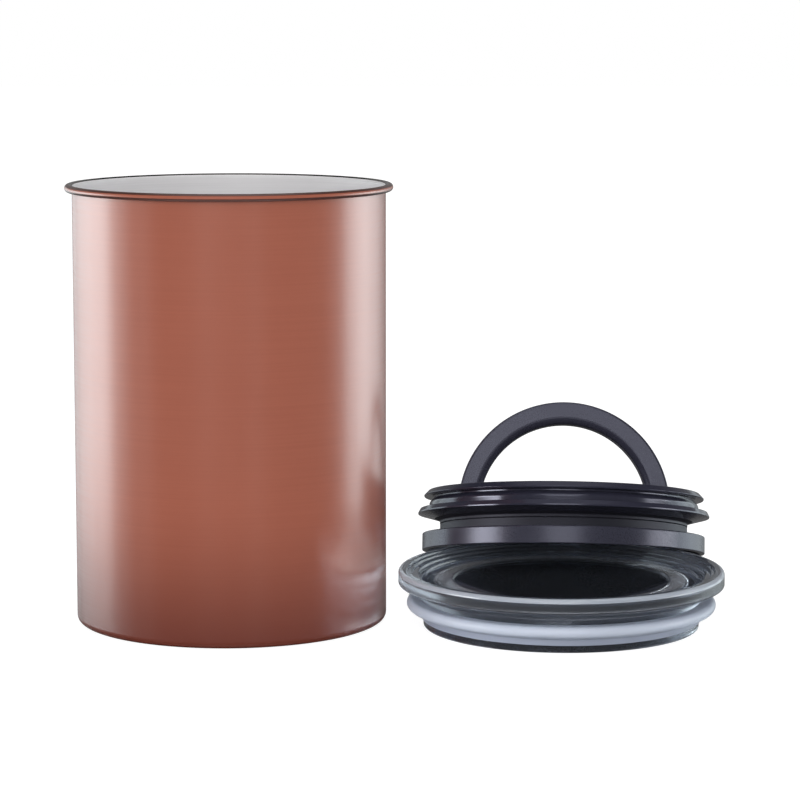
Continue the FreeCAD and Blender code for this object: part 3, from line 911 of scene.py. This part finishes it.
@dataclass
class InnerLid:
    """Black plunger lid that leans on the outer lid: guide band, neck, dish and the wiper seal round it.

    The lips are the seal's outside from the neck up: the third lip and its leaf, the ridge under a groove,
    and the hooked top lip.
    """

    pivot_height: float = PIVOT_HEIGHT
    band_radius: float = 58.15
    band_inside: float = 56.15
    band_height: float = 7.1
    band_foot_round: float = 0.4
    band_top_round: float = 0.6
    shoulder_low: float = 5.5
    shoulder_round: float = 0.4
    neck_radius: float = 50.9
    neck_round: float = 0.5
    neck_high: float = 13.3
    seam_height: float = 10.9
    seam_round: float = 0.25
    spigot_radius: float = 48.0
    ledge_radius: float = 44.0
    ledge_top: float = 7.0
    dish_radius: float = 49.0
    seal_radius: float = 51.0
    seal_low: float = 11.0
    seal_top: float = 25.0
    seal_top_round: float = 0.3
    crown_round: float = 1.0
    collar_radius: float = 52.0
    collar_low: float = 20.6
    collar_high: float = 22.4
    lips: tuple[Turn, ...] = (
        Turn(51.0, 12.3, 0.6),
        Turn(53.0, 13.1, 0.8),
        Turn(60.0, 14.9, 0.2),
        Turn(60.0, 15.5, 0.3),
        Turn(59.1, 17.2, 0.2),
        Turn(58.5, 17.2, 0.2),
        Turn(56.0, 16.7, 0.4),
        Turn(55.3, 17.3, 0.2),
        Turn(55.5, 19.6, 1.6),
        Turn(54.4, 20.9, 0.4),
        Turn(53.8, 21.2, 0.2),
        Turn(53.8, 22.0, 0.3),
        Turn(56.9, 22.2, 0.3),
        Turn(57.5, 22.1, 0.15),
        Turn(57.7, 22.7, 0.3),
        Turn(55.7, 24.8, 0.8),
    )

    def place(self) -> Place:
        """Where the lid leans.

        Returns:
            The middle of its foot, the handle's pivot line as first axis and the valve's way as third.
        """
        joints = {joint["name"]: joint for joint in frame["joints"]}
        up = np.array(joints["valve_close"]["axis"], float)
        across = -np.array(joints["handle_fold"]["axis"], float)
        pivot = np.array(joints["handle_fold"]["pos_m"], float)
        return Place(pivot - up * self.pivot_height * MM, np.stack([across, np.cross(up, across), up]))

    def ring_section(self) -> list[Turn]:
        """The guide ring's section: band, shoulder, neck and the ledge under the dish."""
        return [
            Turn(self.band_inside, 0.0),
            Turn(self.band_radius, 0.0, self.band_foot_round),
            Turn(self.band_radius, self.band_height, self.band_top_round),
            Turn(self.neck_radius, self.band_height, self.neck_round),
            Turn(self.neck_radius, self.seam_height, self.seam_round),
            Turn(self.spigot_radius, self.seam_height),
            Turn(self.spigot_radius, self.ledge_top),
            Turn(self.ledge_radius, self.ledge_top),
            Turn(self.ledge_radius, self.shoulder_low),
            Turn(self.band_inside, self.shoulder_low, self.shoulder_round),
        ]

    def seal_section(self) -> list[Turn]:
        """The wiper seal's section: its foot, its lips, its crown and the groove round the dish's collar."""
        return [
            Turn(self.dish_radius, self.seal_low),
            Turn(self.seal_radius, self.seal_low, self.seam_round),
            *self.lips,
            Turn(self.collar_radius, self.seal_top, self.crown_round),
            Turn(self.dish_radius, self.seal_top, self.seal_top_round),
            Turn(self.dish_radius, self.collar_high),
            Turn(self.collar_radius, self.collar_high),
            Turn(self.collar_radius, self.collar_low),
            Turn(self.dish_radius, self.collar_low),
        ]

    def neck_strips(self, section: Points) -> Faces:
        """Marks with 1 the strips of a closed section that lie on the neck, in the shade of the third lip,
        which wear a darker painted shade.

        Args:
            section: rows of radius and height in millimetres.

        Returns:
            One number per face of the turned piece, strip by strip.
        """
        radius, height = 0.5 * (section + np.roll(section, -1, axis=0)).T
        outside = radius > self.dish_radius + EDGE
        neck = outside & (height > self.band_height + EDGE) & (height < self.neck_high)
        return np.repeat(neck, SEGMENTS).astype(int)

    def build(self) -> Place:
        """Turns the guide ring and the seal, both with a matt neck darkened by painted shade, and dresses the
        dish.

        Returns:
            Where the lid leans.
        """
        place = self.place()
        for name, turns, node, slot, finish in (
                ("plunger_guide_ring", self.ring_section(), "guide_ring", "black_plastic", CHARCOAL),
                ("plunger_wiper_seal", self.seal_section(), "wiper_seal", "black_rubber", RUBBER)):
            section = rounded_section(turns, closed=True)
            piece = turned_piece(name, section, place, closed=True)
            settle(piece, "inner_lid", node, slot, finish, MATT_BLACK_PAINTED_SHADE)
            wear(piece, self.neck_strips(section))
        dress_solid("inner_lid_dish", CHARCOAL)
        return place


@dataclass
class Handle:
    """Half-ring bail with a flat face, soft edges, two fine grooves inside the grip and round feet."""

    pivot_height: float = PIVOT_HEIGHT
    outer: float = 43.65
    inner: float = 34.6
    half: float = 4.75
    soft: float = 3.0
    edge: float = 0.85
    groove_half: float = 0.4
    groove_floor_half: float = 0.2
    groove_depth: float = 0.5
    groove_round: float = 0.1
    grooves: tuple[float, ...] = (1.9, -0.6)
    arch_steps: int = 128
    foot_steps: int = 12
    foot_turn: float = 89.0

    def section(self) -> list[Turn]:
        """The grip's section.

        Returns:
            The corners, each a distance from the pivot line and a depth from front to back.
        """
        turns = [
            Turn(self.inner, -self.half, self.soft),
            Turn(self.outer, -self.half, self.edge),
            Turn(self.outer, self.half, self.edge),
            Turn(self.inner, self.half, self.edge),
        ]
        floor = self.inner + self.groove_depth
        for middle in self.grooves:
            turns += [
                Turn(self.inner, middle + self.groove_half, self.groove_round),
                Turn(floor, middle + self.groove_floor_half, self.groove_round),
                Turn(floor, middle - self.groove_floor_half, self.groove_round),
                Turn(self.inner, middle - self.groove_half, self.groove_round),
            ]
        return turns

    def build(self, place: Place) -> None:
        """Carries the section over the half ring and rounds it off below the pivot line.

        Over the arch, a section point at distance r and depth y is (r cos a, y, pivot + r sin a). Below the
        pivot line it drops by half sin b while its depth shrinks by cos b, so that each foot is a half round.

        Args:
            place: where the inner lid leans.
        """
        section = rounded_section(self.section(), closed=True)
        arch = np.linspace(0.0, np.pi, self.arch_steps + 1)
        foot = np.linspace(np.radians(self.foot_turn), 0.0, self.foot_steps, endpoint=False)
        still = np.zeros_like(foot)
        angle = np.concatenate([still, arch, still + np.pi])[:, None]
        sink = np.concatenate([foot, np.zeros_like(arch), foot[::-1]])[:, None]
        radius = section[None, :, 0]
        depth = section[None, :, 1] * np.cos(sink)
        height = self.pivot_height + radius * np.sin(angle) - self.half * np.sin(sink)
        local = np.stack([radius * np.cos(angle), depth, height], axis=-1)
        piece = swept_piece("plunger_handle", local, place)
        settle(piece, "handle", "handle", "black_plastic", CHARCOAL)
        dress_solid("handle_axle", DRAWN_STEEL)
        dress_solid("valve_cam", GREY_PLASTIC)


@dataclass
class Valve:
    """Vent valve in the dish: cap, stem and washer, and the coil that lifts the cap."""

    coil_radius: float = 3.75
    wire: float = 0.25
    coil_low: float = 6.15
    coil_high: float = 10.7
    turns: int = 4
    steps_per_turn: int = 40
    wire_steps: int = 12

    def build(self, place: Place) -> None:
        """Winds the coil and dresses the solids of the valve.

        The wire's middle is a helix, (r cos t, r sin t, low + climb t). Round it, a point at angle f stands
        off by the wire's radius times cos f along the helix's outward direction and sin f across it.

        Args:
            place: where the inner lid leans.
        """
        angle = np.linspace(0.0, 2.0 * np.pi * self.turns, self.turns * self.steps_per_turn + 1)
        climb = (self.coil_high - self.coil_low) / angle[-1]
        zero = np.zeros_like(angle)
        out = np.stack([np.cos(angle), np.sin(angle), zero], axis=-1)
        ahead = np.stack([-np.sin(angle), np.cos(angle), zero], axis=-1) * self.coil_radius
        ahead[:, 2] = climb
        across = np.cross(ahead / lengths(ahead), out)
        middle = out * self.coil_radius + np.stack([zero, zero, self.coil_low + climb * angle], axis=-1)
        around = np.linspace(0.0, 2.0 * np.pi, self.wire_steps, endpoint=False)[None, :, None]
        offset = np.cos(around) * out[:, None] + np.sin(around) * across[:, None]
        coil = swept_piece("valve_coil", middle[:, None] + offset * self.wire, place)
        dress(coil, DRAWN_STEEL)
        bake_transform(coil)
        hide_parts("valve_spring")
        for node in ("valve_cap", "valve_stem"):
            dress_solid(node, GREY_PLASTIC)
        dress_solid("valve_seal", SILICONE)


# Studio


COOL_LIGHT = (0.86, 0.97, 1.0)
# In metres: how far most lamps stand off, and the height and size of a side panel
LAMP_DISTANCE = 1.5
PANEL_HEIGHT = 0.05
PANEL_SIZE = (0.42, 0.48)
# Bearing and glow of each side panel
PANEL_GLOWS = (
    (-68.0, 0.2), (-84.0, 1.1), (-100.0, 3.6), (-116.0, 3.0), (-132.0, 2.1), (-150.0, 1.2),
    (88.0, 0.3), (103.0, 2.4), (118.0, 2.9), (134.0, 1.7), (150.0, 0.5),
)


class Reach(Enum):
    """What a lamp lights and what shades it."""

    ALL = "lights everything and is shaded by everything"
    LIDS = "lights only the lids and is shaded only by them"
    PAST_LIDS = "lights everything and is shaded only by the can"


@dataclass(frozen=True)
class SoftBox:
    """One soft lamp: where it stands round the object, its size, how bright its face is and its reach."""

    name: str
    bearing: float
    height: float
    size: Span
    glow: float
    tint: Colour = (1.0, 1.0, 1.0)
    distance: float = LAMP_DISTANCE
    mirrored: bool = True
    reach: Reach = Reach.ALL

    def build(self, target: tuple[float, float, float], lids: bpy.types.Collection,
              can: bpy.types.Collection) -> None:
        """Hangs the lamp. Bearing 0 is the camera's side, and positive bearings go round by the right.

        Args:
            target: the point that the lamp faces, in metres.
            lids: the pieces of the lids.
            can: the can.
        """
        turn = math.radians(self.bearing)
        lamp = bpy.data.lights.new(self.name, "AREA")
        lamp.shape = "RECTANGLE"
        lamp.size, lamp.size_y = self.size
        lamp.color = self.tint
        lamp.energy = self.glow * math.pi * self.size[0] * self.size[1]
        holder = bpy.data.objects.new(self.name, lamp)
        place = np.array((math.sin(turn) * self.distance, -math.cos(turn) * self.distance, self.height))
        holder.location = place + np.array((target[0], target[1], 0.0))
        aim = holder.location - Vector(target)
        holder.rotation_euler = aim.to_track_quat("Z", "Y").to_euler()
        holder.visible_glossy = self.mirrored
        if self.reach is Reach.LIDS:
            holder.light_linking.receiver_collection = lids
            holder.light_linking.blocker_collection = lids
        if self.reach is Reach.PAST_LIDS:
            holder.light_linking.blocker_collection = can
        bpy.context.scene.collection.objects.link(holder)


def side_panel(bearing: float, glow: float) -> SoftBox:
    """A tall cool panel beside the object.

    Args:
        bearing: degrees round from the camera's side, positive by the right, where the lids are.
        glow: how bright its face is.

    Returns:
        The lamp. On the right its light passes the lids.
    """
    side, reach = ("right", Reach.PAST_LIDS) if bearing > 0.0 else ("left", Reach.ALL)
    name = f"{side}_{abs(bearing):.0f}"
    return SoftBox(name, bearing, PANEL_HEIGHT, PANEL_SIZE, glow, COOL_LIGHT, reach=reach)


@dataclass
class Studio:
    """Pale floor, white background, soft light and the camera."""

    camera_place: tuple[float, float, float] = (0.06605, -1.2, 0.24916)
    camera_pitch: float = 82.267
    camera_clip: Span = (0.05, 50.0)
    lens: float = 139.68
    sensor: float = 36.0
    floor_half: float = 6.0
    floor_drop: float = 0.0002
    floor_grey: float = 0.85
    floor_white: float = 1.32
    floor_glow: float = 0.70
    through_glow: float = 0.7
    polish_grey: float = 0.8
    polish_rough: float = 0.1
    room_glow: float = 0.66
    front_glow: float = 0.16
    back_glow: float = 0.22
    back_span: Span = (-0.35, 0.35)
    ceiling_glow: float = 0.12
    ceiling_span: Span = (0.35, 0.60)
    zenith_glow: float = 0.5
    zenith_span: Span = (0.80, 0.95)
    target: tuple[float, float, float] = (0.03, 0.0, 0.08)
    boxes: tuple[SoftBox, ...] = (
        *(side_panel(bearing, glow) for bearing, glow in PANEL_GLOWS),
        SoftBox("strip_left", -60.0, PANEL_HEIGHT, (0.26, 0.48), 0.25),
        SoftBox("strip_middle", -15.0, PANEL_HEIGHT, (0.22, 0.48), 0.12),
        SoftBox("strip_right", 20.0, PANEL_HEIGHT, (0.20, 0.48), 0.22),
        SoftBox("front_fill", -8.0, 0.55, (0.90, 0.90), 4.05, mirrored=False),
        SoftBox("lids_left", -71.0, 0.30, (0.70, 0.40), 14.0, reach=Reach.LIDS),
        SoftBox("lids_middle", 0.0, 0.56, (0.80, 0.40), 3.6, reach=Reach.LIDS),
        SoftBox("lids_right", 86.0, 0.15, (0.70, 0.40), 5.5, reach=Reach.LIDS),
        SoftBox("lids_top", 0.0, 1.25, (1.0, 0.40), 4.0, distance=1.0, reach=Reach.LIDS),
        SoftBox("overhead", 150.0, 1.5, (1.2, 1.2), 1.3, distance=0.5, mirrored=False),
    )

    def floor(self) -> None:
        """A flat pale floor that looks white and keeps the object's shadow."""
        half = self.floor_half
        corners = np.array([(-half, -half), (half, -half), (half, half), (-half, half)])
        points = np.concatenate([corners, np.full((4, 1), -self.floor_drop)], axis=1)
        floor = new_piece("floor", points, [[0, 1, 2, 3]])
        material = bpy.data.materials.new("pale_floor")
        material.use_nodes = True
        material.node_tree.nodes.clear()
        wiring = Wiring(material.node_tree)
        lit = wiring.add("ShaderNodeBsdfDiffuse", {"Color": grey(self.floor_grey)}).outputs[0]
        white = wiring.add("ShaderNodeEmission", {"Strength": self.floor_white}).outputs[0]
        gloss = {"Color": grey(self.polish_grey), "Roughness": self.polish_rough}
        polish = wiring.add("ShaderNodeBsdfGlossy", gloss).outputs[0]
        path = wiring.add("ShaderNodeLightPath").outputs
        through = wiring.math("MULTIPLY", path["Is Transmission Ray"], self.through_glow)
        seen = wiring.math("MULTIPLY", path["Is Camera Ray"], self.floor_glow)
        share = wiring.math("MAXIMUM", seen, through)
        pale = wiring.add("ShaderNodeMixShader", {0: share, 1: lit, 2: white}).outputs[0]
        mixed = wiring.add("ShaderNodeMixShader", {0: path["Is Glossy Ray"], 1: pale, 2: polish}).outputs[0]
        wiring.add("ShaderNodeOutputMaterial", {"Surface": mixed})
        material.cycles.emission_sampling = "NONE"
        floor.data.materials.append(material)

    def world(self) -> None:
        """White to the camera and through clear plastic, and in mirrors a dim room with a pale skylight."""
        world = bpy.data.worlds.new("studio")
        bpy.context.scene.world = world
        world.use_nodes = True
        world.node_tree.nodes.clear()
        wiring = Wiring(world.node_tree)
        way = wiring.add("ShaderNodeTexCoord").outputs["Generated"]
        behind = wiring.add("ShaderNodeSeparateXYZ", {0: way}).outputs["Y"]
        above = wiring.height(way)
        level = wiring.ramp(behind, self.back_span, (self.front_glow, self.back_glow))
        ceiling = wiring.ramp(above, self.ceiling_span, (1.0, self.ceiling_glow))
        zenith = wiring.ramp(above, self.zenith_span, (0.0, self.zenith_glow))
        backdrop = wiring.math("MAXIMUM", wiring.math("MULTIPLY", level, ceiling), zenith)
        path = wiring.add("ShaderNodeLightPath").outputs
        open_ray = wiring.math("MAXIMUM", path["Is Camera Ray"], path["Is Transmission Ray"])
        mirror = wiring.math("MULTIPLY", path["Is Glossy Ray"], backdrop)
        dark = wiring.math("SUBTRACT", 1.0, wiring.math("MAXIMUM", open_ray, path["Is Glossy Ray"]))
        fill = wiring.math("MULTIPLY", dark, self.room_glow)
        glow = wiring.math("ADD", wiring.math("MAXIMUM", open_ray, mirror), fill)
        sky = wiring.add("ShaderNodeBackground", {"Color": grey(1.0), "Strength": glow})
        wiring.add("ShaderNodeOutputWorld", {"Surface": sky.outputs[0]})

    def camera(self) -> None:
        """The camera at the height, pitch and lens of the reference view."""
        lens = bpy.data.cameras.new("camera")
        lens.lens = self.lens
        lens.sensor_width = self.sensor
        lens.clip_start, lens.clip_end = self.camera_clip
        holder = bpy.data.objects.new("camera", lens)
        holder.location = self.camera_place
        holder.rotation_euler = (math.radians(self.camera_pitch), 0.0, 0.0)
        bpy.context.scene.collection.objects.link(holder)
        bpy.context.scene.camera = holder

    def build(self) -> None:
        """Sets up the floor, the background, the lamps and the camera."""
        lids = bpy.data.collections.new("lids")
        can = bpy.data.collections.new("can")
        for piece in bpy.context.scene.objects:
            if piece.type == "MESH":
                (can if piece.name == "canister" else lids).objects.link(piece)
        self.floor()
        self.world()
        for box in self.boxes:
            box.build(self.target, lids, can)
        self.camera()
        bpy.context.scene.view_settings.view_transform = "Standard"


def main() -> None:
    """Builds the sub-assemblies and the studio."""
    logging.basicConfig(level=logging.INFO, format="%(name)s: %(message)s")
    Canister().build()
    OuterLid().build()
    lid_place = InnerLid().build()
    Handle().build(lid_place)
    Valve().build(lid_place)
    Studio().build()


if __name__ == "__main__":
    main()
